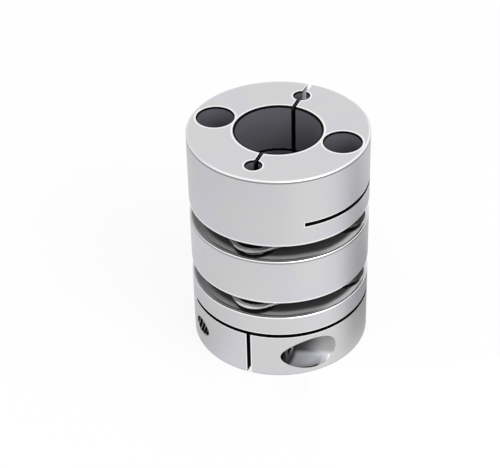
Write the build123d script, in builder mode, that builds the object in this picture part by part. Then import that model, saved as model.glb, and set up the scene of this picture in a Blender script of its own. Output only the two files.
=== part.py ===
from build123d import *
import os

# Double disc coupling with clamp hubs. All sizes are in millimetres.
# Origin: centre of the lower hub's end face. +Z runs up the shaft axis.
# X passes through the two large access holes, Y through the slits of the clamps.

# Hubs. The walls stand between the bore, the access holes and the rim.
bore_d = 16.0
bore_wall = 1.1
rim_wall = 1.1
hub_length = 14.2
edge_break = 0.1
bore_break = 0.15
hole_break = 0.1

# Clamp of each hub
slit_w = 0.8
flange_t = 4.0
saw_past_axis = 2.0
saw_turn = -43.5
jaw_t = 2.4
clamp_screw_inset = 0.2

# Spacer ring
spacer_length = 9.6
shaft_clearance = 0.5

# Disc packs: thin leaves held between collars and washers
leaf_count = 5
leaf_t = 0.1
leaf_inset = 0.1
collar_d = 6.2
collar_t = 1.5
washer_d = 6.0
washer_t = 1.5
ring_break = 0.2

# Disc screws, M3 socket head
disc_screw_d = 3.0
disc_head_d = 5.5
disc_head_h = 3.0
disc_hex = 2.5
disc_hex_depth = 1.4
screw_tip_gap = 0.6

# Clamp screws, M4 socket head
clamp_screw_d = 4.0
clamp_screw_length = 12.0
clamp_head_d = 7.0
clamp_head_h = 4.0
clamp_hex = 3.0
clamp_hex_depth = 2.0

# Clearances, measured on the radius
thread_clearance = 0.05
shank_clearance = 0.1
clamp_shank_clearance = 0.2
counterbore_clearance = 0.1
access_clearance = 0.65
pilot_undersize = 0.05
tap_runout = 0.5
screw_tip_break = 0.4
head_break = 0.4

# Radii and places that follow from the sizes above
bore_r = bore_d / 2
access_r = disc_head_d / 2 + access_clearance
bolt_r = bore_r + bore_wall + access_r
outer_r = bolt_r + access_r + rim_wall
tap_r = disc_screw_d / 2 + thread_clearance
pilot_r = disc_screw_d / 2 - pilot_undersize
inner_bore_r = bore_r + shaft_clearance
leaf_corner_r = outer_r - bolt_r - leaf_inset
pack_t = leaf_count * leaf_t
gap = 2 * collar_t + pack_t
overall_length = 2 * hub_length + 2 * gap + spacer_length

# The two screws that meet in one tapped hole of the spacer leave a gap between their tips
thread_in = (spacer_length - screw_tip_gap) / 2
disc_screw_length = thread_in + collar_t + pack_t + washer_t

# The clamp part of a hub lies between its end face and the saw slit
clamp_length = hub_length - flange_t - slit_w
clamp_screw_seat = slit_w / 2 + jaw_t
clamp_screw_r = bolt_r - clamp_screw_inset

# Heights inside one half of the coupling, from the hub's end face towards the middle
pack_start = hub_length + collar_t
pack_end = pack_start + pack_t
spacer_face = hub_length + gap


def clamp_hub(end_face):
    """One hub. The plane lies on its end face and points into the coupling."""
    with BuildPart() as hub:
        with BuildSketch(end_face):
            Circle(outer_r)
            Circle(bore_r, mode=Mode.SUBTRACT)
        extrude(amount=hub_length)
        rims = hub.edges().filter_by(GeomType.CIRCLE).group_by(SortBy.RADIUS)
        chamfer(rims[-1], length=edge_break)
        chamfer(rims[0], length=bore_break)

        # Access holes on X for the heads of the screws that go into the spacer, pilot holes on Y
        with BuildSketch(end_face):
            with Locations((bolt_r, 0), (-bolt_r, 0)):
                Circle(access_r)
            with Locations((0, bolt_r), (0, -bolt_r)):
                Circle(pilot_r)
        extrude(amount=hub_length, mode=Mode.SUBTRACT)
        outer_rims = hub.edges().filter_by(GeomType.CIRCLE).group_by(Axis(end_face.origin, end_face.z_dir))[0]
        chamfer(outer_rims.filter_by(lambda rim: rim.radius <= access_r), length=hole_break)

        # The pilot holes are tapped from the inner face
        with BuildSketch(end_face.offset(hub_length)):
            with Locations((0, bolt_r), (0, -bolt_r)):
                Circle(tap_r)
        extrude(amount=-(thread_in + tap_runout), mode=Mode.SUBTRACT)

        # Open slit on the clamp screw's side and hinge slit on the other side
        with BuildSketch(end_face):
            with Locations((0, -outer_r)):
                Rectangle(slit_w, 2 * (outer_r - bore_r / 2))
            with Locations((0, bolt_r / 2)):
                Rectangle(slit_w, bolt_r)
        extrude(amount=clamp_length + slit_w, mode=Mode.SUBTRACT)

        # Saw slit that parts the clamp from the flange, entered from one side
        with BuildSketch(end_face.offset(clamp_length)):
            with PolarLocations(outer_r - saw_past_axis, 1, start_angle=saw_turn):
                Rectangle(2 * outer_r, 4 * outer_r)
        extrude(amount=slit_w, mode=Mode.SUBTRACT)

        # Clamp screw's hole: counterbore, clearance in the near jaw, tapped in the far jaw
        with BuildSketch(clamp_seat_plane(end_face)):
            Circle(clamp_head_d / 2 + counterbore_clearance)
        extrude(amount=outer_r, mode=Mode.SUBTRACT)
        with BuildSketch(clamp_seat_plane(end_face)):
            Circle(clamp_screw_d / 2 + clamp_shank_clearance)
        extrude(amount=-(jaw_t + slit_w / 2), mode=Mode.SUBTRACT)
        with BuildSketch(clamp_seat_plane(end_face)):
            Circle(clamp_screw_d / 2 + thread_clearance)
        extrude(amount=-(clamp_screw_seat + outer_r), mode=Mode.SUBTRACT)
    return hub.part


def clamp_seat_plane(end_face):
    """Plane under the clamp screw's head, pointing along the head."""
    return Plane(
        origin=end_face.from_local_coords((clamp_screw_seat, -clamp_screw_r, clamp_length / 2)),
        x_dir=end_face.y_dir,
        z_dir=end_face.x_dir,
    )


def cap_screw(seat, thread_d, length, head_d, head_h, hex_across, hex_depth):
    """Socket head cap screw. The plane lies under its head and points along the head."""
    screw_axis = Axis(seat.origin, seat.z_dir)
    with BuildPart() as screw:
        with BuildSketch(seat):
            Circle(head_d / 2)
        extrude(amount=head_h)
        chamfer(screw.faces().sort_by(screw_axis)[-1].edges(), length=head_break)
        with BuildSketch(seat):
            Circle(thread_d / 2)
        extrude(amount=-length)
        chamfer(screw.faces().sort_by(screw_axis)[0].edges(), length=screw_tip_break)
        with BuildSketch(seat.offset(head_h)):
            RegularPolygon(hex_across / 2, 6, major_radius=False)
        extrude(amount=-hex_depth, mode=Mode.SUBTRACT)
    return screw.part


def disc_leaf(base):
    """One thin leaf: four round corners about the screws, joined by straight sides."""
    with BuildPart() as leaf:
        with BuildSketch(base):
            with PolarLocations(bolt_r, 4):
                Circle(leaf_corner_r)
            make_hull()
            Circle(inner_bore_r, mode=Mode.SUBTRACT)
            with PolarLocations(bolt_r, 4):
                Circle(disc_screw_d / 2 + shank_clearance, mode=Mode.SUBTRACT)
        extrude(amount=leaf_t)
    return leaf.part


def spacing_ring(base, ring_d, ring_t):
    """Collar or washer about a disc screw, with both outer edges broken."""
    with BuildPart() as ring:
        with BuildSketch(base):
            Circle(ring_d / 2)
            Circle(disc_screw_d / 2 + shank_clearance, mode=Mode.SUBTRACT)
        extrude(amount=ring_t)
        rims = ring.edges().filter_by(GeomType.CIRCLE).group_by(SortBy.RADIUS)
        chamfer(rims[-1], length=ring_break)
    return ring.part


def local_plane(end_face, x, y, z, flip=False):
    """Plane parallel to the end face at a local point, turned over if flip is set."""
    return Plane(
        origin=end_face.from_local_coords((x, y, z)),
        x_dir=end_face.x_dir,
        z_dir=-end_face.z_dir if flip else end_face.z_dir,
    )


def write_piece(piece, name):
    """Labels a finished piece and writes its file."""
    piece.label = name
    export_step(piece, f"parts/{name}.step")


def write_half(half, end_face, sides):
    """Writes one hub with its disc pack. sides names the ends of the local X and Y axes."""
    write_piece(clamp_hub(end_face), f"{half}_hub")

    clamp_screw = cap_screw(
        clamp_seat_plane(end_face),
        clamp_screw_d,
        clamp_screw_length,
        clamp_head_d,
        clamp_head_h,
        clamp_hex,
        clamp_hex_depth,
    )
    write_piece(clamp_screw, f"{half}_clamp_screw")

    for number in range(leaf_count):
        base = end_face.offset(pack_start + number * leaf_t)
        write_piece(disc_leaf(base), f"{half}_leaf_{number + 1}")

    for side, (x, y) in sides.items():
        into_hub = x == 0
        if into_hub:
            collar_z = hub_length
            washer_z = pack_end
            seat = local_plane(end_face, x, y, pack_end + washer_t)
        else:
            collar_z = pack_end
            washer_z = pack_start - washer_t
            seat = local_plane(end_face, x, y, pack_start - washer_t, flip=True)
        collar = spacing_ring(local_plane(end_face, x, y, collar_z), collar_d, collar_t)
        washer = spacing_ring(local_plane(end_face, x, y, washer_z), washer_d, washer_t)
        screw = cap_screw(
            seat,
            disc_screw_d,
            disc_screw_length,
            disc_head_d,
            disc_head_h,
            disc_hex,
            disc_hex_depth,
        )
        write_piece(collar, f"{half}_{side}_collar")
        write_piece(washer, f"{half}_{side}_washer")
        write_piece(screw, f"{half}_{side}_screw")


os.makedirs("parts", exist_ok=True)

# Lower half, then the upper half, which is the same turned over about X
lower_end = Plane.XY
write_half(
    "lower",
    lower_end,
    {"right": (bolt_r, 0), "left": (-bolt_r, 0), "back": (0, bolt_r), "front": (0, -bolt_r)},
)
upper_end = Plane(origin=(0, 0, overall_length), x_dir=(1, 0, 0), z_dir=(0, 0, -1))
write_half(
    "upper",
    upper_end,
    {"right": (bolt_r, 0), "left": (-bolt_r, 0), "back": (0, -bolt_r), "front": (0, bolt_r)},
)

# Spacer ring: tapped holes on X, clearance for the hub screws' heads on Y
with BuildPart() as spacer:
    with BuildSketch(Plane.XY.offset(spacer_face)):
        Circle(outer_r)
        Circle(inner_bore_r, mode=Mode.SUBTRACT)
    extrude(amount=spacer_length)
    spacer_rims = spacer.edges().filter_by(GeomType.CIRCLE).group_by(SortBy.RADIUS)
    chamfer(spacer_rims[-1], length=edge_break)
    with BuildSketch(Plane.XY.offset(spacer_face)):
        with Locations((bolt_r, 0), (-bolt_r, 0)):
            Circle(tap_r)
        with Locations((0, bolt_r), (0, -bolt_r)):
            Circle(access_r)
    extrude(amount=spacer_length, mode=Mode.SUBTRACT)
write_piece(spacer.part, "spacer")

print("overall length", overall_length, "gap", gap, "screw length", disc_screw_length)
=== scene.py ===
# %% [markdown]
# # Disc coupling: finish and studio
#
# A disc coupling joins two shafts end to end. Two split hubs clamp the shafts, a ring sits between
# them, and packs of thin steel leaves carry the torque while they let the shafts lie a little out
# of line. The solid model already has every piece at its real size, so this script leaves the shapes
# that are right, gives each one its finish, and adds what a solid model leaves out: the screws'
# threads and knurls, and the thread in the holes that show.

# %% Load the frame
import math

import bpy
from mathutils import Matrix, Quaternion, Vector


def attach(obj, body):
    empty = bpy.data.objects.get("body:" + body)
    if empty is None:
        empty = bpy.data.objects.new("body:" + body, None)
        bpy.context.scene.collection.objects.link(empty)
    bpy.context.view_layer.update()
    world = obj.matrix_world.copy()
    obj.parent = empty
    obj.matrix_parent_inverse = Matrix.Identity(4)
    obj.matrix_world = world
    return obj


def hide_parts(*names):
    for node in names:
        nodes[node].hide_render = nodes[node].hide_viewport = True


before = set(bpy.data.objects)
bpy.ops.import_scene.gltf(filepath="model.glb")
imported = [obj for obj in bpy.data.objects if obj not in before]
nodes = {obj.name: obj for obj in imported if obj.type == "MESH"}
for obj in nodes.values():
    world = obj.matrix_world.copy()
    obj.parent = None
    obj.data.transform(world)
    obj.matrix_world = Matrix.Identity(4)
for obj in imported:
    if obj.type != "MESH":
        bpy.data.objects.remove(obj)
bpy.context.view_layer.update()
scene = bpy.context.scene
scene.view_settings.view_transform = "Standard"
print("pieces in the frame:", len(nodes))

# %% [markdown]
# ## Sizes that the finish needs
#
# A finish that follows a shape, such as the bright line on a broken edge, needs to know where that
# shape is. These are the coupling's own sizes in millimetres. The upper half is the lower half
# turned over about X, so one set of heights, measured from each hub's own end face, serves both.
# CLEAR is how far a mask reaches past the cut that it marks, so that no facet slips through.

# %% Sizes in millimetres
MM = 0.001
OUTER_R = 17.0
BORE_R = 8.0
RING_BORE_R = 8.5
BOLT_R = 12.5
ACCESS_R = 3.4
PILOT_R = 1.45
HUB_LENGTH = 14.2
RING_START = 17.7
LENGTH = 45.0
SLIT_W = 0.8
SAW_HEIGHT = 9.8
SAW_ANGLE = math.radians(-43.5)
SAW_PAST_AXIS = -2.0
CLAMP_Y = -12.3
CLAMP_HEIGHT = 4.7
CLAMP_SEAT_X = 2.8
CLAMP_TIP_X = -9.2
COUNTERBORE_R = 3.6
TAPPED_R = 2.05
BORE_BREAK = 0.15
HOLE_BREAK = 0.1
LOBE_R = 3.65
PACK_SHADOW_R = 3.95
CLEAR = 0.02
GAP_MIDDLE = (HUB_LENGTH + RING_START) / 2
print("half length", LENGTH / 2, "mm")

# %% [markdown]
# ## Camera
#
# The photograph looks down at about 36 degrees from a fairly long lens, so the cylinder's sides
# draw together only a little. The camera's place came from fitting the rims that the photograph
# shows. It is written as a point, a direction to look in, and a small roll, because the photograph
# leans to the right by under two degrees.

# %% Camera
camera_data = bpy.data.cameras.new("photo_camera")
camera_data.sensor_width = 36.0
camera_data.lens = 114.04
camera_data.clip_start = 0.01
camera_data.clip_end = 20.0
camera = bpy.data.objects.new("photo_camera", camera_data)
scene.collection.objects.link(camera)
camera.location = Vector((88.37, -227.98, 202.52)) * MM
look = Vector((-0.30765, 0.74211, -0.59551))
roll = Quaternion((0, 0, 1), math.radians(-1.534))
camera.rotation_mode = "QUATERNION"
camera.rotation_quaternion = look.to_track_quat("-Z", "Y") @ roll
scene.camera = camera
print("camera distance", round(camera.location.length / MM), "mm")

# %% [markdown]
# ## Small helpers for node trees
#
# Shader trees and geometry trees use the same Math node, so one helper serves both. A value may be
# a number or another node's socket: a number is typed into the input, and a socket is linked to it.

# %% Node helpers
def plug(tree, socket, value):
    """Types a number into an input, or links a socket to it."""
    if isinstance(value, bpy.types.NodeSocket):
        tree.links.new(value, socket)
    else:
        socket.default_value = value


def calc(tree, operation, first, second=None, third=None):
    """One Math node. Its inputs are numbers or sockets."""
    node = tree.nodes.new("ShaderNodeMath")
    node.operation = operation
    for socket, value in zip(node.inputs, (first, second, third)):
        if value is not None:
            plug(tree, socket, value)
    return node.outputs[0]


def plus(tree, first, second):
    return calc(tree, "ADD", first, second)


def minus(tree, first, second):
    return calc(tree, "SUBTRACT", first, second)


def times(tree, first, second):
    return calc(tree, "MULTIPLY", first, second)


def over(tree, first, second):
    return calc(tree, "DIVIDE", first, second)


def parts(tree, vector):
    """The x, y and z of a vector."""
    node = tree.nodes.new("ShaderNodeSeparateXYZ")
    tree.links.new(vector, node.inputs[0])
    return node.outputs


def find(tree, kind):
    """The node of this kind that a new tree already has."""
    return next(node for node in tree.nodes if node.type == kind)


def ramp(tree, value, start, end, low=0.0, high=1.0, smooth=True):
    """A clamped change from low to high as value goes from start to end."""
    node = tree.nodes.new("ShaderNodeMapRange")
    node.interpolation_type = "SMOOTHSTEP" if smooth else "LINEAR"
    for socket, number in zip(node.inputs, (value, start, end, low, high)):
        plug(tree, socket, number)
    return node.outputs[0]


def distance(tree, first, second):
    """Length of a flat step with these two sides."""
    square = times(tree, second, second)
    return calc(tree, "SQRT", calc(tree, "MULTIPLY_ADD", first, first, square))


def way(tree, across, along, turn):
    """How far a point lies in the direction that is turned by this angle from X."""
    return calc(tree, "MULTIPLY_ADD", across, math.cos(turn), times(tree, along, math.sin(turn)))


def new_group(name, kind, inputs, outputs):
    """A node group and the nodes for its inputs and outputs. Outputs are numbers, or Geometry."""
    tree = bpy.data.node_groups.new(name, kind)
    for socket_name, socket_type, default in inputs:
        socket = tree.interface.new_socket(socket_name, in_out="INPUT", socket_type=socket_type)
        if default is not None:
            socket.default_value = default
    for socket_name in outputs:
        socket_type = "NodeSocketGeometry" if socket_name == "Geometry" else "NodeSocketFloat"
        tree.interface.new_socket(socket_name, in_out="OUTPUT", socket_type=socket_type)
    return tree, tree.nodes.new("NodeGroupInput"), tree.nodes.new("NodeGroupOutput")


def use_group(tree, group, **values):
    """Outputs of a shader group placed in a tree. Underscores stand for spaces in socket names."""
    node = tree.nodes.new("ShaderNodeGroup")
    node.node_tree = group
    for name, value in values.items():
        plug(tree, node.inputs[name.replace("_", " ")], value)
    return node.outputs


print("helpers ready")

# %% [markdown]
# ## Where a point lies on the coupling
#
# Every finish below asks the same few questions about a point: how far is it from the shaft axis,
# how high above its own hub's end face, and how far from the nearest hole. This group answers them
# from Object coordinates, in millimetres. It folds the upper half onto the lower one, because the
# upper half is the lower one turned over about X. Four bolts lie on X and four on Y, so the last two
# values are the distances from the nearest bolt of each four.

# %% Group: place on the coupling
def make_place_group():
    tree, _, out = new_group(
        "place_on_coupling",
        "ShaderNodeTree",
        [],
        ["Across", "Along", "Height", "Radius", "Upper", "From X Bolt", "From Y Bolt"],
    )
    coords = tree.nodes.new("ShaderNodeTexCoord").outputs["Object"]
    across, y, z = (times(tree, axis, 1000.0) for axis in parts(tree, coords))
    above_middle = minus(tree, z, LENGTH / 2)
    height = minus(tree, LENGTH / 2, calc(tree, "ABSOLUTE", above_middle))
    turned = calc(tree, "GREATER_THAN", above_middle, 0.0)
    sign = calc(tree, "MULTIPLY_ADD", turned, -2.0, 1.0)
    along = times(tree, y, sign)
    past_x = minus(tree, calc(tree, "ABSOLUTE", across), BOLT_R)
    past_y = minus(tree, calc(tree, "ABSOLUTE", y), BOLT_R)
    for name, value in (
        ("Across", across),
        ("Along", along),
        ("Height", height),
        ("Radius", distance(tree, across, y)),
        ("Upper", turned),
        ("From X Bolt", distance(tree, past_x, y)),
        ("From Y Bolt", distance(tree, across, past_y)),
    ):
        tree.links.new(value, out.inputs[name])
    return tree


place_group = make_place_group()
print("group", place_group.name, "gives", len(place_group.interface.items_tree), "values")

# %% [markdown]
# ## A soft band
#
# The building brick of every mask here: 1 where a value is within half a width of a centre, and a
# soft fall to 0 outside it. Sharp masks would sparkle when they are smaller than a pixel.

# %% Group: soft band
def make_band_group():
    tree, given, out = new_group(
        "soft_band",
        "ShaderNodeTree",
        [
            ("Value", "NodeSocketFloat", 0.0),
            ("Centre", "NodeSocketFloat", 0.0),
            ("Half Width", "NodeSocketFloat", 0.1),
            ("Soft", "NodeSocketFloat", 0.05),
        ],
        ["Mask"],
    )
    away = calc(tree, "ABSOLUTE", minus(tree, given.outputs["Value"], given.outputs["Centre"]))
    edge = given.outputs["Half Width"]
    far = plus(tree, edge, given.outputs["Soft"])
    tree.links.new(ramp(tree, away, edge, far, 1.0, 0.0), out.inputs["Mask"])
    return tree


band_group = make_band_group()


def band(tree, value, centre, half_width, soft=0.05):
    """Mask that is 1 near a centre."""
    sizes = {"Centre": centre, "Half_Width": half_width, "Soft": soft}
    return use_group(tree, band_group, Value=value, **sizes)["Mask"]


def both(tree, *masks):
    """Mask that is 1 where all of these are."""
    result = masks[0]
    for mask in masks[1:]:
        result = times(tree, result, mask)
    return result


def either(tree, *masks):
    """Mask that is 1 where any of these is."""
    result = masks[0]
    for mask in masks[1:]:
        result = calc(tree, "MAXIMUM", result, mask)
    return result


def opposite(tree, mask):
    """Mask that is 1 where this one is 0."""
    return minus(tree, 1.0, mask)


print("group", band_group.name, "ready")

# %% [markdown]
# ## Blasted grain
#
# The hubs are bead blasted before they are anodised. The beads leave dents of a few hundredths of a
# millimetre, which spread each highlight, and the bath leaves faint clouds in the grey. One group
# makes both, and every metal here uses it with its own sizes: the steel pieces have a finer grain.

# %% Group: fine grain
def make_grain_group():
    tree, given, out = new_group(
        "fine_grain",
        "ShaderNodeTree",
        [
            ("Grain Size mm", "NodeSocketFloat", 0.08),
            ("Cloud Size mm", "NodeSocketFloat", 6.0),
            ("Stretch", "NodeSocketVector", (1.0, 1.0, 1.0)),
        ],
        ["Height", "Clouds", "Mottle"],
    )
    coords = tree.nodes.new("ShaderNodeTexCoord").outputs["Object"]
    stretched = tree.nodes.new("ShaderNodeVectorMath")
    stretched.operation = "MULTIPLY"
    tree.links.new(coords, stretched.inputs[0])
    tree.links.new(given.outputs["Stretch"], stretched.inputs[1])
    grain_scale = over(tree, 1000.0, given.outputs["Grain Size mm"])
    cloud_scale = over(tree, 1000.0, given.outputs["Cloud Size mm"])
    for output, scale, detail in (
        ("Height", grain_scale, 2.0),
        ("Clouds", cloud_scale, 3.0),
        ("Mottle", 1400.0, 2.0),
    ):
        noise = tree.nodes.new("ShaderNodeTexNoise")
        tree.links.new(stretched.outputs[0], noise.inputs["Vector"])
        plug(tree, noise.inputs["Scale"], scale)
        noise.inputs["Detail"].default_value = detail
        tree.links.new(noise.outputs["Fac"], out.inputs[output])
    return tree


grain_group = make_grain_group()
print("group", grain_group.name, "ready")

# %% [markdown]
# ## Broken edges
#
# Each sharp edge of a turned part is broken with a small chamfer: it is cut after the blasting, so it
# is smooth, and it faces where the flat and the wall don't. A painted highlight makes each broken
# edge the brightest line on the part. On the rims that face up it covers the chamfer and a ring of
# the flat beside it, and it is painted brightest towards the front right, where the photograph has
# its widest white line. On the rims that face down it is a hair of the wall. Under some rims lies a
# thin line of painted shade, which is the group's second mask. The saw slits have no chamfer, but a
# painted highlight runs along both sides of them.

# %% Group: broken edges
def make_edge_group():
    tree, _, out = new_group("broken_edges", "ShaderNodeTree", [], ["Edges", "Shade"])
    place = use_group(tree, place_group)
    across, along = place["Across"], place["Along"]
    height, radius = place["Height"], place["Radius"]
    upper = place["Upper"]
    lower = opposite(tree, upper)

    def lines_at(*places):
        """Lines round the part: centre, half width, softness, half of the part and strength of each."""
        lines = (
            both(tree, band(tree, height, centre, half_width, soft), half, strength)
            for centre, half_width, soft, half, strength in places
        )
        return either(tree, *lines)

    # Rims that face up: a painted highlight on the chamfer and the flat beside it, brightest at front right
    outer = ramp(tree, radius, OUTER_R - 0.50, OUTER_R - 0.32)
    up_rims = lines_at(
        (0.04, 0.09, 0.04, upper, 1.0),
        (RING_START + 0.06, 0.11, 0.05, upper, 1.0),
        (HUB_LENGTH - 0.06, 0.11, 0.05, lower, 1.0),
    )
    y = times(tree, along, calc(tree, "MULTIPLY_ADD", upper, -2.0, 1.0))
    front_right = over(tree, way(tree, across, y, math.radians(-45)), OUTER_R)
    front_right_highlight = ramp(tree, front_right, 0.05, 0.55, 0.22, 1.0)
    wall = ramp(tree, radius, OUTER_R - 0.06, OUTER_R - 0.02)

    # Rims that face down: a painted highlight on the last hair of the wall
    down_rims = lines_at(
        (HUB_LENGTH - 0.24, 0.12, 0.08, upper, 1.0),
        (RING_START + 0.24, 0.12, 0.08, lower, 1.0),
    )
    outer_rims = either(tree, both(tree, outer, up_rims, front_right_highlight), both(tree, wall, down_rims))
    # A thin line of painted shade lies under some rims
    painted_shade_lines = lines_at(
        (0.36, 0.10, 0.10, upper, 0.85),
        (RING_START + 0.36, 0.10, 0.10, upper, 0.75),
        (0.18, 0.06, 0.08, lower, 0.30),
    )

    # Bore and holes: the painted highlight lies on the end face just outside the cut
    near_end = band(tree, height, 0.0, 0.05, 0.02)
    bore_rim = both(tree, band(tree, radius, BORE_R + BORE_BREAK + 0.45, 0.14, 0.10), near_end)
    access, pilot = place["From X Bolt"], place["From Y Bolt"]
    access_rim = both(tree, band(tree, access, ACCESS_R + HOLE_BREAK + 0.33, 0.13, 0.10), near_end)
    pilot_rim = both(tree, band(tree, pilot, PILOT_R + HOLE_BREAK + 0.27, 0.13, 0.08), near_end)

    # Slits: a painted highlight on both sides of each cut
    sawn = ramp(tree, way(tree, across, along, SAW_ANGLE), SAW_PAST_AXIS - 0.25, SAW_PAST_AXIS - 0.15)
    saw_edge = both(tree, band(tree, height, SAW_HEIGHT, SLIT_W / 2 + 0.14, 0.08), wall, sawn)
    slit = band(tree, across, 0.0, SLIT_W / 2 + 0.16, 0.08)
    open_slit = both(
        tree,
        slit,
        wall,
        ramp(tree, along, 0.0, -1.0),
        ramp(tree, height, SAW_HEIGHT, SAW_HEIGHT - 0.1),
    )
    end_slit = both(tree, slit, near_end, ramp(tree, along, BOLT_R, BOLT_R - 0.2))

    edge_highlights = either(tree, outer_rims, bore_rim, access_rim, pilot_rim, saw_edge, open_slit, end_slit)
    tree.links.new(edge_highlights, out.inputs["Edges"])
    tree.links.new(both(tree, painted_shade_lines, wall), out.inputs["Shade"])
    return tree


edge_group = make_edge_group()
print("group", edge_group.name, "has", len(edge_group.nodes), "nodes")

# %% [markdown]
# ## Inner walls
#
# The bore, the holes and the slits are cut after the anodising. Their walls are painted a deep blue
# grey as shade, far darker than the light that reaches them would make clean aluminium, and a black
# line of painted shade runs round each lip and fills the slits. This group marks those walls. It
# marks three more places apart:
#
# - the counterbore of the clamp screw, which an end mill leaves smooth, painted dark deep inside as
#   shade and lighter towards its mouth and along its floor as light, with a line of painted shade in
#   its near mouth and a painted glint at one end
# - the tapped hole behind it, with its thread's crests and its roots, which are painted black as shade
# - the flats that face each other across a gap, painted dark deep inside as shade, darker at the left
#   and lighter at the right of the rim as painted shade and light, and black under the leaf packs as
#   painted shadow

# %% Group: inner walls
def make_inner_group():
    tree, _, out = new_group(
        "inner_walls",
        "ShaderNodeTree",
        [],
        [
            "Dark",
            "Black",
            "Counterbore",
            "Counterbore Floor",
            "Glint",
            "Tapped",
            "Thread Root Shade",
            "Gap Shade",
            "Gap Rim Shading",
        ],
    )
    place = use_group(tree, place_group)
    across, along = place["Across"], place["Along"]
    height, radius = place["Height"], place["Radius"]
    in_ring = calc(tree, "GREATER_THAN", height, GAP_MIDDLE)
    in_hub = opposite(tree, in_ring)

    # The bore and the holes are painted dark as shade
    hub_edge = BORE_R + BORE_BREAK + CLEAR
    ring_edge = RING_BORE_R + CLEAR
    bore_edge = calc(tree, "MULTIPLY_ADD", in_ring, ring_edge - hub_edge, hub_edge)
    bore = calc(tree, "LESS_THAN", radius, bore_edge)

    # The wide holes are on X in a hub, and on both axes in the ring
    on_x, on_y = place["From X Bolt"], place["From Y Bolt"]
    wide = calc(tree, "MINIMUM", on_x, calc(tree, "MULTIPLY_ADD", in_hub, 9.0, on_y))
    access = calc(tree, "LESS_THAN", wide, ACCESS_R + HOLE_BREAK + CLEAR)
    pilot = calc(tree, "LESS_THAN", on_y, PILOT_R + HOLE_BREAK + CLEAR)
    holes = either(tree, access, pilot)

    # A black line of painted shade runs round the lip of each hole and of the bore, and spreads a hair
    # on to the end face
    lip = both(tree, ramp(tree, height, 0.44, 0.20), either(tree, bore, holes))
    spread = either(
        tree,
        band(tree, radius, BORE_R + BORE_BREAK + 0.09, 0.11, 0.05),
        band(tree, wide, ACCESS_R + HOLE_BREAK + 0.05, 0.07, 0.04),
        band(tree, on_y, PILOT_R + HOLE_BREAK + 0.03, 0.05, 0.04),
    )
    lip = either(tree, lip, both(tree, spread, calc(tree, "LESS_THAN", height, 0.03)))

    # The slits are painted black inside as shade, except where light comes in
    below_skin = calc(tree, "LESS_THAN", radius, OUTER_R - 0.03)
    in_clamp = calc(tree, "LESS_THAN", height, SAW_HEIGHT + SLIT_W / 2 + CLEAR)
    off_face = calc(tree, "GREATER_THAN", height, CLEAR)
    not_past_hinge = calc(tree, "LESS_THAN", along, BOLT_R + 0.5)
    # The mouth of the saw slit on the bore still gets light, so it keeps the bore's painted shade grey
    # instead of black
    saw_level = band(tree, height, SAW_HEIGHT, SLIT_W / 2 + CLEAR, 0.01)
    past_mouth = ramp(tree, radius, BORE_R + 0.35, BORE_R + 0.50)
    saw = both(tree, saw_level, past_mouth)
    saw_mouth = both(tree, saw_level, opposite(tree, past_mouth))
    slit_sides = band(tree, across, 0.0, SLIT_W / 2 + CLEAR, 0.01)
    upright = both(tree, slit_sides, in_clamp, off_face, not_past_hinge)
    slits = both(tree, either(tree, saw, upright), below_skin)

    # Light comes into the upper hub's slit from its open end, and a streak of it lies half way down
    # between the bore and the small holes
    upper = place["Upper"]
    lip_line = both(tree, ramp(tree, height, 0.50, 0.28), ramp(tree, along, -16.8, -14.6))
    open_end = both(
        tree,
        upright,
        upper,
        ramp(tree, along, -13.4, -13.8),
        opposite(tree, lip_line),
    )
    streak = both(
        tree,
        upright,
        upper,
        band(tree, height, 0.74, 0.14, 0.14),
        band(tree, calc(tree, "ABSOLUTE", along), 9.9, 1.4, 0.3),
    )
    lit_slit = either(tree, open_end, times(tree, streak, 0.26))
    slits = both(tree, slits, opposite(tree, lit_slit))

    screw_hole = distance(
        tree,
        minus(tree, along, CLAMP_Y),
        minus(tree, height, CLAMP_HEIGHT),
    )
    counterbore = both(
        tree,
        calc(tree, "LESS_THAN", screw_hole, COUNTERBORE_R + 0.03),
        calc(tree, "GREATER_THAN", across, CLAMP_SEAT_X - 0.1),
        below_skin,
    )
    tapped = both(
        tree,
        calc(tree, "LESS_THAN", screw_hole, TAPPED_R - 0.015),
        calc(tree, "LESS_THAN", across, CLAMP_TIP_X + 0.3),
        calc(tree, "LESS_THAN", radius, OUTER_R - 0.04),
    )
    # The flats across each gap are painted dark deep inside and along a thin line inside the rim, as shade
    gap_level = band(tree, height, GAP_MIDDLE, (RING_START - HUB_LENGTH) / 2 + CLEAR, 0.02)
    open_side = ramp(tree, across, 9.0, 13.0, 0.0, -0.5)
    reach = minus(tree, OUTER_R, plus(tree, radius, open_side))
    deep = ramp(tree, reach, 1.5, 2.5)
    rim_shade_line = both(
        tree,
        band(tree, radius, OUTER_R - 0.72, 0.14, 0.08),
        band(tree, across, 1.5, 7.0, 5.0),
    )
    gap_shade = both(tree, gap_level, either(tree, deep, rim_shade_line))
    # Between the deep part and the rim the flats are painted darker at left and lighter at right, as shade
    # and light
    off_rim = ramp(tree, radius, OUTER_R - 0.34, OUTER_R - 0.50)
    gap_rim_shading = both(tree, gap_level, opposite(tree, gap_shade), off_rim)

    # Each pack keeps the light off the flat under it
    nearest_pack = calc(tree, "MINIMUM", plus(tree, on_x, 0.15), on_y)
    under_pack = both(tree, gap_level, ramp(tree, nearest_pack, PACK_SHADOW_R + 0.20, PACK_SHADOW_R - 0.20))

    # Painted shade darkens the near part of the counterbore's mouth
    mouth_shade = either(
        tree,
        ramp(tree, radius, OUTER_R - 0.50, OUTER_R - 0.38),
        ramp(tree, radius, OUTER_R - 1.80, OUTER_R - 0.50, 0.0, 0.35),
    )
    shaded_mouth = both(tree, counterbore, mouth_shade, ramp(tree, across, 12.6, 11.8))
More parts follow.
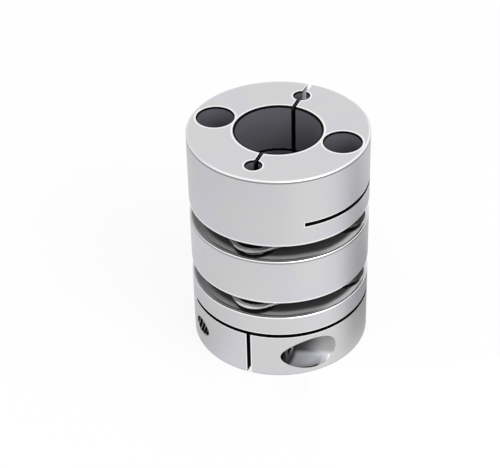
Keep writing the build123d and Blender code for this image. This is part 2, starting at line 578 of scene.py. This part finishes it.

    # The counterbore's floor is painted lighter than its wall, and a painted glint lies on one edge of its
    # mouth
    floor_line = calc(tree, "MULTIPLY_ADD", across, -0.14, height)
    glint = both(
        tree,
        counterbore,
        band(tree, across, 13.52, 0.14, 0.10),
        band(tree, height, CLAMP_HEIGHT - 2.75, 0.40, 0.15),
    )
    for name, value in (
        ("Dark", either(tree, bore, holes, saw_mouth)),
        ("Black", either(tree, slits, lip, under_pack, shaded_mouth)),
        ("Counterbore", counterbore),
        ("Counterbore Floor", ramp(tree, floor_line, CLAMP_HEIGHT - 3.45, CLAMP_HEIGHT - 4.25)),
        ("Glint", glint),
        ("Tapped", tapped),
        ("Thread Root Shade", ramp(tree, screw_hole, 1.70, 1.84)),
        ("Gap Shade", gap_shade),
        ("Gap Rim Shading", gap_rim_shading),
    ):
        tree.links.new(value, out.inputs[name])
    return tree


inner_group = make_inner_group()
print("group", inner_group.name, "has", len(inner_group.nodes), "nodes")

# %% [markdown]
# ## Aluminium
#
# The hubs and the ring are one finish: blasted, clear anodised aluminium. It is a metal, so its
# colour tints what it mirrors, and its roughness is high enough that nothing shows a picture. The
# bath leaves clouds of a lavender and a greenish grey. Every mask above is then one layer of paint
# over that body colour, most of them painted highlights, painted light and painted shade, and a
# list holds the layers in the order in which they cover each other.

# %% Material: anodised aluminium
def mix_colour(tree, factor, first, second):
    """Blend of two colours, each a colour or a socket."""
    node = tree.nodes.new("ShaderNodeMix")
    node.data_type = "RGBA"
    plug(tree, node.inputs["Factor"], factor)
    plug(tree, node.inputs["A"], first)
    plug(tree, node.inputs["B"], second)
    return node.outputs["Result"]


def new_material(name):
    """Empty material, its tree and its shader."""
    material = bpy.data.materials.new(name)
    material.use_nodes = True
    tree = material.node_tree
    return material, tree, find(tree, "BSDF_PRINCIPLED")


def add_bump(tree, shader, height, strength, depth_mm):
    """Feeds a height map to the shader's normal."""
    bump = tree.nodes.new("ShaderNodeBump")
    bump.inputs["Strength"].default_value = strength
    bump.inputs["Distance"].default_value = depth_mm * MM
    plug(tree, bump.inputs["Height"], height)
    tree.links.new(bump.outputs["Normal"], shader.inputs["Normal"])


LAVENDER_GREY = (0.650, 0.645, 0.690, 1.0)
GREEN_GREY = (0.655, 0.661, 0.653, 1.0)
# Painted highlight on broken edges, rim lines and a glint
EDGE_HIGHLIGHT = (0.90, 0.905, 0.91, 1.0)
# Painted shade line under rims
SHADE_GREY = (0.24, 0.24, 0.245, 1.0)
# Painted shade on the bore and hole walls
HOLE_SHADE_GREY = (0.128, 0.129, 0.148, 1.0)
# Painted shade: black lines, slits, thread roots and the gap between a head and the wall
SHADE_BLACK = (0.008, 0.008, 0.010, 1.0)
# Painted shade deep in the gaps
GAP_SHADE_GREY = (0.130, 0.130, 0.134, 1.0)
# Painted shade and light along the gap rims, dark at the left and light at the right
GAP_RIM_SHADE_LEFT = (0.25, 0.25, 0.255, 1.0)
GAP_RIM_SHADE_MIDDLE = (0.47, 0.47, 0.475, 1.0)
GAP_RIM_LIGHT_RIGHT = (0.86, 0.86, 0.865, 1.0)
# Painted shade and light in the counterbore: dark deep inside, lighter on wall and floor by its mouth
COUNTERBORE_SHADE = (0.06, 0.06, 0.065, 1.0)
COUNTERBORE_WALL_LIT = (0.36, 0.36, 0.365, 1.0)
COUNTERBORE_FLOOR_LIT = (0.60, 0.60, 0.66, 1.0)
THREAD_CREST = (0.45, 0.45, 0.46, 1.0)


def make_aluminium():
    material, tree, shader = new_material("anodised_aluminium_blasted")
    grain = use_group(tree, grain_group, Grain_Size_mm=0.09, Cloud_Size_mm=11.0)
    edge = use_group(tree, edge_group)
    edge_highlights = edge["Edges"]
    inner = use_group(tree, inner_group)
    place = use_group(tree, place_group)
    across = place["Across"]
    clouds = ramp(tree, grain["Clouds"], 0.38, 0.60)
    body = mix_colour(tree, clouds, LAVENDER_GREY, GREEN_GREY)

    # The counterbore is painted dark deep inside as shade, and painted light reaches further along its
    # floor
    milled_floor = inner["Counterbore Floor"]
    mouth = mix_colour(tree, milled_floor, COUNTERBORE_WALL_LIT, COUNTERBORE_FLOOR_LIT)
    wall_light = ramp(tree, across, 8.2, 12.6)
    floor_light = both(tree, ramp(tree, across, 6.5, 7.6), milled_floor)
    counterbore_light = mix_colour(tree, either(tree, wall_light, floor_light), COUNTERBORE_SHADE, mouth)
    # The thread's crests are a mid grey and its roots are painted black as shade
    thread = mix_colour(tree, inner["Thread Root Shade"], THREAD_CREST, SHADE_BLACK)
    # The gap rims are painted darker at the left and lighter at the right, as shade and light
    gap_rim_shading = mix_colour(tree, ramp(tree, across, -14.0, -6.0), GAP_RIM_SHADE_LEFT, GAP_RIM_SHADE_MIDDLE)
    gap_rim_shading = mix_colour(tree, ramp(tree, across, 10.0, 16.0), gap_rim_shading, GAP_RIM_LIGHT_RIGHT)
    layers = (
        (inner["Counterbore"], counterbore_light),
        (inner["Glint"], EDGE_HIGHLIGHT),
        (inner["Tapped"], thread),
        (inner["Gap Rim Shading"], gap_rim_shading),
        (inner["Gap Shade"], GAP_SHADE_GREY),
        (edge["Shade"], SHADE_GREY),
        (edge_highlights, EDGE_HIGHLIGHT),
        (inner["Dark"], HOLE_SHADE_GREY),
        (inner["Black"], SHADE_BLACK),
    )
    colour = body
    for mask, finish in layers:
        colour = mix_colour(tree, mask, colour, finish)
    tree.links.new(colour, shader.inputs["Base Color"])

    # The bore and hole walls under painted shade are non-metallic, and the counterbore and gap flats partly
    # so
    shaded_walls = both(tree, inner["Dark"], opposite(tree, inner["Black"]))
    dull = either(
        tree,
        shaded_walls,
        times(tree, inner["Counterbore"], 0.7),
        times(tree, inner["Gap Rim Shading"], 0.65),
        times(tree, inner["Gap Shade"], 0.40),
    )
    tree.links.new(opposite(tree, dull), shader.inputs["Metallic"])
    blasted = ramp(tree, grain["Mottle"], 0.3, 0.7, 0.46, 0.52)
    smooth = either(tree, edge_highlights, inner["Counterbore"])
    finished = minus(tree, blasted, times(tree, smooth, 0.18))
    roughness = calc(tree, "MAXIMUM", finished, times(tree, inner["Black"], 0.95))
    tree.links.new(roughness, shader.inputs["Roughness"])
    dents = both(tree, grain["Height"], opposite(tree, smooth))
    add_bump(tree, shader, dents, 0.30, 0.02)
    return material


aluminium = make_aluminium()
print(aluminium.name, "has", len(aluminium.node_tree.nodes), "nodes")

# %% [markdown]
# ## Steels
#
# The leaves are cold rolled spring steel, so their grain runs one way. Their flats are painted dark
# as shade and their cut edges bright as painted light, a pale band of painted highlight lies round
# the lobes on their flats, and the upper packs and those to the right are painted darker as shade.
# Collars and washers are turned, and their side walls are painted near black as shade. The screws
# are stainless: the disc screws are plain, and the clamp screws are dark, and painted black as
# shade where a head comes close to the hub's wall. One function makes them all with other colours,
# roughness and grain, because they are one kind of metal.

# %% Materials: steels
def make_steel(name, flat, side, broken, rough, grain_mm, stretch=(1.0, 1.0, 1.0), kind="plain"):
    """Steel with its own greys for flat faces, side walls and broken edges, painted as light and shade on
    leaves and collars.
    """
    material, tree, shader = new_material(name)
    grain = use_group(tree, grain_group, Grain_Size_mm=grain_mm, Cloud_Size_mm=2.5, Stretch=stretch)
    normal = tree.nodes.new("ShaderNodeNewGeometry").outputs["True Normal"]
    upright = calc(tree, "ABSOLUTE", parts(tree, normal)[2])
    flat_face = ramp(tree, upright, 0.75, 0.95)
    faces = mix_colour(tree, flat_face, grey(side), grey(flat))
    colour = mix_colour(tree, band(tree, upright, 0.70, 0.15, 0.10), faces, grey(broken))
    level = ramp(tree, grain["Clouds"], 0.3, 0.7, 0.75, 1.15)
    if kind != "plain":
        place = use_group(tree, place_group)
    if kind == "clamp screw":
        # Painted black as shade where the head comes close to the hub's wall
        near_wall_shade = ramp(tree, place["Radius"], OUTER_R - 0.70, OUTER_R - 0.40)
        colour = mix_colour(tree, near_wall_shade, colour, SHADE_BLACK)
    if kind == "leaf":
        # A pale band painted round the lobes as highlight, and painted shade in the upper packs and to the
        # right
        from_bolt = calc(tree, "MINIMUM", place["From X Bolt"], place["From Y Bolt"])
        lobe_highlight = both(
            tree,
            ramp(tree, from_bolt, LOBE_R - 0.10, LOBE_R + 0.10),
            flat_face,
            ramp(tree, place["Radius"], 13.4, 14.2),
        )
        colour = mix_colour(tree, lobe_highlight, colour, grey(0.60))
        tree.links.new(calc(tree, "MULTIPLY_ADD", lobe_highlight, -0.7, 1.0), shader.inputs["Metallic"])
        level = both(
            tree,
            level,
            calc(tree, "MULTIPLY_ADD", place["Upper"], -0.38, 1.0),
            ramp(tree, place["Across"], 1.2, 3.6, 1.0, 0.50),
            ramp(tree, place["Across"], 8.0, 11.0, 1.0, 0.36),
        )
    else:
        shader.inputs["Metallic"].default_value = 1.0
    shaded = tree.nodes.new("ShaderNodeVectorMath")
    shaded.operation = "SCALE"
    tree.links.new(colour, shaded.inputs[0])
    tree.links.new(level, shaded.inputs["Scale"])
    tree.links.new(shaded.outputs[0], shader.inputs["Base Color"])
    roughness = ramp(tree, grain["Mottle"], 0.3, 0.7, rough - 0.05, rough + 0.05)
    tree.links.new(roughness, shader.inputs["Roughness"])
    add_bump(tree, shader, grain["Height"], 0.15, 0.01)
    return material


def grey(level):
    """A neutral colour with a touch of blue, as bare steel has."""
    return (level, level, level * 1.03, 1.0)


# Leaves: flats painted dark as shade, cut edges painted bright as light
leaf_steel = make_steel("leaf_steel_rolled", 0.22, 0.68, 0.68, 0.28, 0.12, (1.0, 0.08, 1.0), kind="leaf")
# Collars and washers: side walls and broken edges painted near black as shade
collar_steel = make_steel("collar_steel_turned", 0.25, 0.03, 0.06, 0.30, 0.10, (0.3, 0.3, 1.0))
screw_steel = make_steel("screw_steel_plain", 0.40, 0.40, 0.40, 0.30, 0.07)
clamp_steel = make_steel("clamp_screw_steel_oiled", 0.05, 0.08, 0.30, 0.32, 0.07, kind="clamp screw")
print("steels:", leaf_steel.name, collar_steel.name, screw_steel.name, clamp_steel.name)

# %% [markdown]
# ## Finishes on the frame's own pieces
#
# The hubs, the ring, the leaves, the collars and the washers have the right shape already, so they
# keep their meshes and only take a material.

# %% Assign the finishes
def give(node_name, material):
    """Puts one material on a piece of the frame."""
    mesh = nodes[node_name].data
    mesh.materials.clear()
    mesh.materials.append(material)


finishes = {
    "hub": aluminium,
    "spacer": aluminium,
    "leaf": leaf_steel,
    "collar": collar_steel,
    "washer": collar_steel,
}
dressed = 0
for node_name in nodes:
    for word, material in finishes.items():
        if word in node_name:
            give(node_name, material)
            dressed += 1
print("pieces with a finish:", dressed)

# %% [markdown]
# ## Cap screws
#
# Ten socket head cap screws hold the coupling. A real one has a rolled thread, a straight knurl round
# its head and a hexagon socket with a cone ground into its mouth. All three follow a rule, so a
# geometry tree makes them: it bends a flat grid round an axis, where one way along the grid runs
# along the screw and the other runs round it. The thread is a wave whose phase goes with height
# and angle together. Screws of both sizes come from the same tree with other numbers.

# %% Geometry tree: cap screw
def path_value(tree, step, knots):
    """A value that runs in straight lines through (step, value) knots."""
    total = knots[0][1]
    for (start, low), (end, high) in zip(knots, knots[1:]):
        change = minus(tree, high, low)
        total = plus(tree, total, ramp(tree, step, start, end, 0.0, change, smooth=False))
    return total


def bent_grid(tree, rows, columns):
    """A grid, with the step along it and the share of a turn round it."""
    grid = tree.nodes.new("GeometryNodeMeshGrid")
    grid.inputs["Size X"].default_value = 1.0
    grid.inputs["Size Y"].default_value = 1.0
    plug(tree, grid.inputs["Vertices X"], plus(tree, rows, 1))
    plug(tree, grid.inputs["Vertices Y"], plus(tree, columns, 1))
    x, y, _ = parts(tree, tree.nodes.new("GeometryNodeInputPosition").outputs[0])
    step = times(tree, plus(tree, x, 0.5), rows)
    turn = plus(tree, y, 0.5)
    return grid.outputs["Mesh"], step, turn


def between(tree, step, low, high):
    """1 for the steps between these two."""
    return both(tree, calc(tree, "GREATER_THAN", step, low), calc(tree, "LESS_THAN", step, high))


def after(tree, geometry, kind, **values):
    """Adds a geometry node after another, with its inputs by name."""
    node = tree.nodes.new(kind)
    tree.links.new(geometry, node.inputs["Geometry"])
    for name, value in values.items():
        plug(tree, node.inputs[name], value)
    return node.outputs[0]


def move_points(tree, mesh, *places):
    """Moves each point of a grid to its x, y and z, and closes seam and poles."""
    point = tree.nodes.new("ShaderNodeCombineXYZ")
    for socket, place in zip(point.inputs, places):
        plug(tree, socket, place)
    moved = after(tree, mesh, "GeometryNodeSetPosition", Position=point.outputs[0])
    return after(tree, moved, "GeometryNodeMergeByDistance", Distance=0.002 * MM)


def round_axis(tree, mesh, radius, height, angle):
    """Bends a grid round Z by the radius, height and angle of each point."""
    x = times(tree, radius, calc(tree, "COSINE", angle))
    y = times(tree, radius, calc(tree, "SINE", angle))
    return move_points(tree, mesh, x, y, height)


def thread_wave(tree, height, turn, pitch):
    """0 at the root and 1 at the crest of a right-hand thread."""
    phase = calc(tree, "FRACT", plus(tree, over(tree, height, pitch), turn))
    wave = times(tree, calc(tree, "ABSOLUTE", minus(tree, phase, 0.5)), 2.0)
    return ramp(tree, wave, 0.25, 0.875, smooth=False)


def finish_tree(tree, given, out, mesh):
    """Places the mesh, makes it real and gives it its material."""
    turn, seat, finish = (given.outputs[name] for name in ("Turn", "Seat", "Finish"))
    placed = after(tree, mesh, "GeometryNodeTransform", Rotation=turn, Translation=seat)
    real = after(tree, placed, "GeometryNodeRealizeInstances")
    painted = after(tree, real, "GeometryNodeSetMaterial", Material=finish)
    tree.links.new(painted, out.inputs["Geometry"])


def make_screw_tree():
    tree, given, out = new_group(
        "cap_screw",
        "GeometryNodeTree",
        [
            ("Thread Diameter", "NodeSocketFloat", 0.004),
            ("Pitch", "NodeSocketFloat", 0.0007),
            ("Length", "NodeSocketFloat", 0.012),
            ("Head Diameter", "NodeSocketFloat", 0.007),
            ("Head Height", "NodeSocketFloat", 0.004),
            ("Hexagon Across", "NodeSocketFloat", 0.003),
            ("Hexagon Depth", "NodeSocketFloat", 0.002),
            ("Knurl Teeth", "NodeSocketInt", 36),
            ("Key Angle", "NodeSocketFloat", 0.0),
            ("Seat", "NodeSocketVector", None),
            ("Turn", "NodeSocketRotation", None),
            ("Finish", "NodeSocketMaterial", None),
        ],
        ["Geometry"],
    )
    value = given.outputs

    # Thread, from a pole at the tip to a pole inside the head
    turns = calc(tree, "CEIL", over(tree, value["Length"], value["Pitch"]))
    rows = plus(tree, times(tree, turns, 8), 2)
    mesh, step, turn = bent_grid(tree, rows, 48)
    last = minus(tree, rows, 1)
    tip = times(tree, value["Length"], -1.0)
    height = ramp(tree, step, 1.0, last, tip, 0.0002, smooth=False)
    crest = over(tree, value["Thread Diameter"], 2.0)
    root = minus(tree, crest, times(tree, value["Pitch"], 0.6134))
    wave = thread_wave(tree, height, turn, value["Pitch"])
    rise = times(tree, wave, minus(tree, crest, root))
    bevelled = plus(tree, minus(tree, root, 0.0001), minus(tree, height, tip))
    radius = calc(tree, "MINIMUM", plus(tree, root, rise), bevelled)
    off_poles = between(tree, step, 0.5, minus(tree, rows, 0.5))
    angle = times(tree, turn, -2 * math.pi)
    thread = round_axis(tree, mesh, both(tree, radius, off_poles), height, angle)

    # Head, from a pole under it, round the knurl and down into the socket
    mesh, step, turn = bent_grid(tree, 15, times(tree, value["Knurl Teeth"], 4))
    angle = plus(tree, times(tree, turn, -2 * math.pi), value["Key Angle"])
    head_r = over(tree, value["Head Diameter"], 2.0)
    top = value["Head Height"]
    flat = over(tree, value["Hexagon Across"], 2.0)
    share = calc(tree, "FRACT", times(tree, turn, 6.0))
    sixth = minus(tree, times(tree, share, math.pi / 3), math.pi / 6)
    hexagon = over(tree, flat, calc(tree, "COSINE", sixth))
    bevel = 0.00012
    mouth = plus(tree, over(tree, flat, math.cos(math.pi / 6)), bevel)
    lip = minus(tree, top, minus(tree, mouth, hexagon))
    floor_height = minus(tree, top, value["Hexagon Depth"])
    shoulder = 0.00042
    radii = [
        (0, 0.0),
        (1, minus(tree, head_r, bevel)),
        (2, head_r),
        (5, head_r),
        (6, minus(tree, head_r, shoulder * 0.12)),
        (7, minus(tree, head_r, shoulder * 0.45)),
        (8, minus(tree, head_r, shoulder)),
        (9, plus(tree, mouth, 0.0001)),
        (10, mouth),
        (11, hexagon),
        (13, hexagon),
        (14, times(tree, hexagon, 0.96)),
        (15, 0.0),
    ]
    heights = [
        (0, 0.0),
        (1, 0.0),
        (2, bevel),
        (3, 0.0003),
        (4, minus(tree, top, shoulder + 0.0001)),
        (5, minus(tree, top, shoulder)),
        (6, minus(tree, top, shoulder * 0.5)),
        (7, minus(tree, top, shoulder * 0.14)),
        (8, top),
        (9, top),
        (10, minus(tree, top, 0.00001)),
        (11, lip),
        (12, minus(tree, lip, 0.0001)),
        (13, floor_height),
        (14, minus(tree, floor_height, 0.00005)),
        (15, minus(tree, floor_height, times(tree, flat, 0.3))),
    ]
    half_teeth = times(tree, value["Knurl Teeth"], 2.0)
    tooth = calc(tree, "PINGPONG", times(tree, turn, half_teeth), 1.0)
    cut = both(tree, tooth, between(tree, step, 2.5, 4.5), times(tree, head_r, 0.045))
    radius = minus(tree, path_value(tree, step, radii), cut)
    head = round_axis(tree, mesh, radius, path_value(tree, step, heights), angle)

    joined = tree.nodes.new("GeometryNodeJoinGeometry")
    tree.links.new(thread, joined.inputs[0])
    tree.links.new(head, joined.inputs[0])
    finish_tree(tree, given, out, joined.outputs[0])
    return tree


screw_tree = make_screw_tree()
print("tree", screw_tree.name, "has", len(screw_tree.nodes), "nodes")

# %% [markdown]
# ## From a tree to a plain piece
#
# A geometry tree is run once, its result is copied to a plain mesh, and edges sharper than 25
# degrees are marked so that the knurl stays crisp while the round parts shade smoothly.

# %% Run a tree
def build_piece(name, tree, slot_name, **values):
    """Runs a geometry tree with these inputs and returns its result as a plain object."""
    carrier = bpy.data.objects.new(name + "_maker", bpy.data.meshes.new(name + "_maker"))
    scene.collection.objects.link(carrier)
    modifier = carrier.modifiers.new("maker", "NODES")
    modifier.node_group = tree
    for item in tree.interface.items_tree:
        key = item.name.replace(" ", "_")
        if item.in_out == "INPUT" and key in values:
            modifier[item.identifier] = values[key]
    bpy.context.view_layer.update()
    evaluated = carrier.evaluated_get(bpy.context.evaluated_depsgraph_get())
    mesh = bpy.data.meshes.new_from_object(evaluated)
    bpy.data.objects.remove(carrier)
    mesh.name = name
    mesh.shade_smooth()
    mesh.set_sharp_from_angle(angle=math.radians(25))
    piece = bpy.data.objects.new(name, mesh)
    scene.collection.objects.link(piece)
    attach(piece, "root")
    return piece


print("runner ready")

# %% [markdown]
# ## The ten screws
#
# The screws on X have their heads in the hubs and go into the ring; those on Y have their heads in
# the ring and go into the hubs. Each key hexagon stands at its own angle, as it does where screws
# are tightened to a torque. Each piece takes the place of the plain screw in the frame.

# %% Place the screws
disc_screw = dict(
    Thread_Diameter=3.0 * MM,
    Pitch=0.5 * MM,
    Length=8.0 * MM,
    Head_Diameter=5.5 * MM,
    Head_Height=3.0 * MM,
    Hexagon_Across=2.5 * MM,
    Hexagon_Depth=1.4 * MM,
    Knurl_Teeth=30,
)
clamp_screw = dict(
    Thread_Diameter=4.0 * MM,
    Pitch=0.7 * MM,
    Length=12.0 * MM,
    Head_Diameter=7.0 * MM,
    Head_Height=4.0 * MM,
    Hexagon_Across=3.0 * MM,
    Hexagon_Depth=2.0 * MM,
    Knurl_Teeth=36,
)
UP = (0.0, 0.0, 0.0)
DOWN = (math.pi, 0.0, 0.0)
TO_PLUS_X = (0.0, math.pi / 2, 0.0)
pack_far = LENGTH - HUB_LENGTH
ring_far = LENGTH - RING_START
screw_places = {
    "lower_right_screw": ((BOLT_R, 0.0, HUB_LENGTH), DOWN),
    "lower_left_screw": ((-BOLT_R, 0.0, HUB_LENGTH), DOWN),
    "lower_back_screw": ((0.0, BOLT_R, RING_START), UP),
    "lower_front_screw": ((0.0, -BOLT_R, RING_START), UP),
    "upper_right_screw": ((BOLT_R, 0.0, pack_far), UP),
    "upper_left_screw": ((-BOLT_R, 0.0, pack_far), UP),
    "upper_back_screw": ((0.0, BOLT_R, ring_far), DOWN),
    "upper_front_screw": ((0.0, -BOLT_R, ring_far), DOWN),
}
clamp_places = {
    "lower_clamp_screw": ((CLAMP_SEAT_X, CLAMP_Y, CLAMP_HEIGHT), TO_PLUS_X),
    "upper_clamp_screw": ((CLAMP_SEAT_X, -CLAMP_Y, LENGTH - CLAMP_HEIGHT), TO_PLUS_X),
}


def add_screws(places, sizes, slot_name, key_angle, steel):
    """Builds one screw for each place, and lets it stand for the frame's own screw."""
    triangles = 0
    for number, (node_name, (seat, turn)) in enumerate(places.items()):
        piece = build_piece(
            node_name + "_cut",
            screw_tree,
            slot_name,
            Seat=[part * MM for part in seat],
            Turn=turn,
            Key_Angle=key_angle + 0.7 * number,
            Finish=steel,
            **sizes,
        )
        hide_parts(node_name)
        triangles += sum(len(face.vertices) - 2 for face in piece.data.polygons)
    return triangles


disc_triangles = add_screws(screw_places, disc_screw, "disc_screw_steel", 0.2, screw_steel)
clamp_triangles = add_screws(clamp_places, clamp_screw, "clamp_screw_steel", 0.45, clamp_steel)
print("screw triangles:", disc_triangles, "and", clamp_triangles)

# %% [markdown]
# ## Thread in the screw hole
#
# The clamp screw ends short of the far side of the hub, so the last turns of the tapped hole show
# there as slanting lines. A thin sleeve lies in the hole: its inner wall is the thread and its outer
# wall touches the hole. Its mouth is broken a little and follows the round of the hub, so each
# column of the grid ends where it meets that cylinder. It is cut from the hub, so it has the hub's
# own finish.
# The hub's finish paints the thread's roots black as shade.

# %% Geometry tree: tapped hole
def make_tapped_tree():
    tree, given, out = new_group(
        "tapped_hole",
        "GeometryNodeTree",
        [
            ("Pitch", "NodeSocketFloat", 0.0007),
            ("Crest Radius", "NodeSocketFloat", 0.00165),
            ("Root Radius", "NodeSocketFloat", 0.00202),
            ("Mouth Radius", "NodeSocketFloat", 0.00184),
            ("Hole Radius", "NodeSocketFloat", 0.00204),
            ("Start", "NodeSocketFloat", 0.00910),
            ("Hub Radius", "NodeSocketFloat", 0.01699),
            ("Axis Y", "NodeSocketFloat", CLAMP_Y * MM),
            ("Axis Z", "NodeSocketFloat", CLAMP_HEIGHT * MM),
            ("Seat", "NodeSocketVector", None),
            ("Turn", "NodeSocketRotation", None),
            ("Finish", "NodeSocketMaterial", None),
        ],
        ["Geometry"],
    )
    value = given.outputs
    mesh, step, turn = bent_grid(tree, 43, 64)
    angle = times(tree, turn, 2 * math.pi)
    sideways = calc(tree, "SINE", angle)
    hub_square = times(tree, value["Hub Radius"], value["Hub Radius"])

    def wall_depth(radius):
        """How far out the hub's wall is, at this radius from the screw's axis."""
        wall_y = calc(tree, "MULTIPLY_ADD", sideways, radius, value["Axis Y"])
        squares = minus(tree, hub_square, times(tree, wall_y, wall_y))
        return calc(tree, "SQRT", squares)

    mouth = wall_depth(value["Mouth Radius"])
    outside = calc(tree, "MAXIMUM", wall_depth(value["Hole Radius"]), value["Start"])
    last_turn = minus(tree, mouth, 0.00015)
    start = value["Start"]
    depth = path_value(tree, step, [(0, start), (39, last_turn), (40, mouth), (41, outside), (42, start)])
    wave = thread_wave(tree, depth, times(tree, turn, -1.0), value["Pitch"])
    wave = either(tree, wave, between(tree, step, 38.5, 42.5))
    inner = calc(
        tree,
        "MULTIPLY_ADD",
        wave,
        minus(tree, value["Crest Radius"], value["Root Radius"]),
        value["Root Radius"],
    )
    to_mouth = minus(tree, value["Mouth Radius"], inner)
    to_hole = minus(tree, value["Hole Radius"], inner)
    opens = both(tree, between(tree, step, 39.5, 40.5), to_mouth)
    out_to_hole = both(tree, between(tree, step, 40.5, 42.5), to_hole)
    radius = plus(tree, inner, plus(tree, opens, out_to_hole))
    x = times(tree, depth, -1.0)
    y = calc(tree, "MULTIPLY_ADD", sideways, radius, value["Axis Y"])
    z = calc(tree, "MULTIPLY_ADD", calc(tree, "COSINE", angle), radius, value["Axis Z"])
    finish_tree(tree, given, out, move_points(tree, mesh, x, y, z))
    return tree


tapped_tree = make_tapped_tree()
for half, seat, turn in (("lower", (0.0, 0.0, 0.0), UP), ("upper", (0.0, 0.0, LENGTH * MM), DOWN)):
    piece = build_piece(
        half + "_tapped_thread", tapped_tree, "anodised_aluminium", Seat=seat, Turn=turn, Finish=aluminium
    )
    print(piece.name, "faces", len(piece.data.polygons))

# %% [markdown]
# ## Studio
#
# The photograph is a cut-out on pure white. The floor and the room show white to the camera, and a
# part of the floor's white is real light on it, so that the coupling still has a shadow to stand in.
# What the metal mirrors is a studio table painted into the floor's glow: a bright board with a painted
# pool of light to the front right, a painted shadow strip to the right, and painted shadows near the
# foot. The room is dimmer low down on the right, which gives the right side of the cylinder its
# darker edge.

# %% Floor
def make_floor():
    bpy.ops.mesh.primitive_plane_add(size=4.0, location=(0, 0, 0))
    floor = bpy.context.active_object
    floor.name = "floor"
    material, tree, shader = new_material("floor_white")
    shader.inputs["Base Color"].default_value = (0.82, 0.82, 0.82, 1.0)
    shader.inputs["Roughness"].default_value = 0.9
    shader.inputs["Specular IOR Level"].default_value = 0.0

    # In the metal the board shows a painted pool of light near the coupling and to its front right, a
    # painted shadow as wide as the coupling runs from it to the right, and painted shadows lie by the foot
    across, along, _ = parts(tree, tree.nodes.new("ShaderNodeTexCoord").outputs["Object"])
    reach = calc(tree, "MAXIMUM", distance(tree, across, along), 0.001)

    def out_at(degrees):
        return way(tree, across, along, math.radians(degrees))

    def towards(degrees, wide, narrow):
        side = over(tree, out_at(degrees), reach)
        return ramp(tree, side, math.cos(math.radians(wide)), math.cos(math.radians(narrow)))

    near = ramp(tree, reach, 0.080, 0.045, 0.79, 0.97)
    light_pool = both(tree, towards(-22.0, 45.0, 5.0), ramp(tree, reach, 0.035, 0.065, 0.45, 1.0))
    pool_of_light = calc(tree, "MULTIPLY_ADD", light_pool, 0.21, near)
    shadow_strip = both(
        tree,
        band(tree, out_at(118.0), 0.0, 0.0125, 0.006),
        ramp(tree, out_at(28.0), 0.005, 0.026),
        ramp(tree, out_at(28.0), 0.115, 0.070),
    )
    left_foot_shadow = both(tree, towards(185.0, 75.0, 25.0), ramp(tree, reach, 0.040, 0.024))
    far_right_shadow = both(tree, towards(85.0, 45.0, 15.0), band(tree, reach, 0.047, 0.008, 0.010))
    mirrored = pool_of_light
    for shadow, depth in ((shadow_strip, -0.80), (left_foot_shadow, -0.30), (far_right_shadow, -0.45)):
        mirrored = times(tree, mirrored, calc(tree, "MULTIPLY_ADD", shadow, depth, 1.0))

    rays = tree.nodes.new("ShaderNodeLightPath")
    seen = either(tree, rays.outputs["Is Camera Ray"], rays.outputs["Is Transmission Ray"])
    glow = tree.nodes.new("ShaderNodeEmission")
    tree.links.new(calc(tree, "MAXIMUM", seen, mirrored), glow.inputs["Strength"])
    shown = either(tree, seen, rays.outputs["Is Glossy Ray"])
    mix = tree.nodes.new("ShaderNodeMixShader")
    tree.links.new(times(tree, shown, 0.80), mix.inputs[0])
    tree.links.new(shader.outputs[0], mix.inputs[1])
    tree.links.new(glow.outputs[0], mix.inputs[2])
    tree.links.new(mix.outputs[0], find(tree, "OUTPUT_MATERIAL").inputs["Surface"])
    floor.data.materials.append(material)
    return floor


floor = make_floor()
print("floor", floor.dimensions.x, "m wide")

# %% Room and lamps
def make_room():
    world = bpy.data.worlds.new("studio_room")
    world.use_nodes = True
    tree = world.node_tree
    background = find(tree, "BACKGROUND")
    rays = tree.nodes.new("ShaderNodeLightPath")
    shown = either(tree, rays.outputs["Is Camera Ray"], rays.outputs["Is Transmission Ray"])
    x, y, z = parts(tree, tree.nodes.new("ShaderNodeTexCoord").outputs["Generated"])
    right = way(tree, x, y, math.radians(53.13))
    low = ramp(tree, z, 0.45, 0.05)
    dim = both(tree, ramp(tree, right, 0.30, 0.90), low)
    level = calc(tree, "MULTIPLY_ADD", dim, -0.30, 1.0)
    strength = calc(tree, "MAXIMUM", shown, level)
    background.inputs["Color"].default_value = (1.0, 1.0, 1.0, 1.0)
    tree.links.new(strength, background.inputs["Strength"])
    scene.world = world


def add_lamp(name, place, aim, size, watts):
    """A square soft lamp. Places are in metres."""
    lamp_data = bpy.data.lights.new(name, "AREA")
    lamp_data.shape = "SQUARE"
    lamp_data.size = size
    lamp_data.energy = watts
    lamp = bpy.data.objects.new(name, lamp_data)
    scene.collection.objects.link(lamp)
    lamp.location = place
    lamp.rotation_mode = "QUATERNION"
    lamp.rotation_quaternion = (Vector(aim) - Vector(place)).to_track_quat("-Z", "Y")
    return lamp


make_room()
middle = (0.0, 0.0, 0.022)
add_lamp("key", (0.46, -0.22, 0.50), middle, 0.40, 1.6)
add_lamp("front", (0.05, -0.60, 0.30), middle, 0.30, 0.5)
